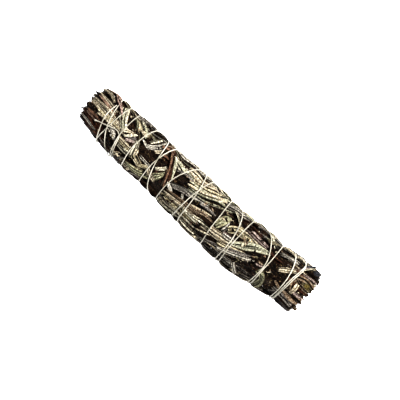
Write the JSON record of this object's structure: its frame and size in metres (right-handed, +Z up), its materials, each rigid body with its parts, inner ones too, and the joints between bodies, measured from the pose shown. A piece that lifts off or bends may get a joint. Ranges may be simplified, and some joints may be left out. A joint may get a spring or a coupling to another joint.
{
  "type": "tied bundle of dried yerba santa",
  "caption": "Long dried leaves and stems laid lengthwise in a round bundle and bound with a criss-cross cotton string.",
  "frame": {"origin": "middle of the underside, on the surface that the bundle lies on", "axes": "+X along the bundle from its ragged left end to its cut right end, +Z up, +Y across the bundle"},
  "size_m": [0.2008, 0.0412, 0.0366],
  "materials": {
    "string": "soft twisted cotton, matt",
    "leaf_pale": "dry felted leaf underside, matt",
    "leaf_dark": "dry resin-coated leaf upper side, slight sheen",
    "leaf_brown": "dry leaf, rolled and browned, matt",
    "stem": "dry thin bark, matt"
  },
  "bodies": {
    "root": {"binding_string": "string", "leaf_01": "leaf_dark", "leaf_02": "leaf_dark", "leaf_03": "leaf_dark", "leaf_04": "leaf_dark", "leaf_05": "leaf_dark", "leaf_06": "leaf_dark", "leaf_07": "leaf_dark", "leaf_08": "leaf_dark", "leaf_09": "leaf_dark", "leaf_10": "leaf_dark", "leaf_11": "leaf_dark", "leaf_12": "leaf_dark", "leaf_13": "leaf_dark", "leaf_14": "leaf_dark", "leaf_15": "leaf_pale", "leaf_16": "leaf_pale", "leaf_17": "leaf_pale", "leaf_18": "leaf_pale", "leaf_19": "leaf_pale", "leaf_20": "leaf_brown", "leaf_21": "leaf_brown", "leaf_22": "leaf_pale", "leaf_23": "leaf_pale", "leaf_24": "leaf_pale", "leaf_25": "leaf_pale", "leaf_26": "leaf_pale", "leaf_27": "leaf_pale", "leaf_28": "leaf_brown", "leaf_29": "leaf_pale", "leaf_30": "leaf_pale", "leaf_31": "leaf_pale", "leaf_32": "leaf_pale", "leaf_33": "leaf_pale", "leaf_34": "leaf_pale", "leaf_35": "leaf_pale", "leaf_36": "leaf_pale", "leaf_37": "leaf_brown", "leaf_38": "leaf_pale", "leaf_39": "leaf_pale", "leaf_40": "leaf_pale", "leaf_41": "leaf_pale", "leaf_42": "leaf_brown", "leaf_43": "leaf_brown", "leaf_44": "leaf_brown", "leaf_45": "leaf_pale", "leaf_46": "leaf_dark", "leaf_47": "leaf_pale", "leaf_48": "leaf_dark", "leaf_49": "leaf_dark", "leaf_50": "leaf_dark", "leaf_51": "leaf_dark", "leaf_52": "leaf_dark", "stem_01": "stem", "stem_02": "stem", "stem_03": "stem", "stem_04": "stem", "stem_05": "stem", "stem_06": "stem", "stem_07": "stem"}
  },
  "joints": []
}
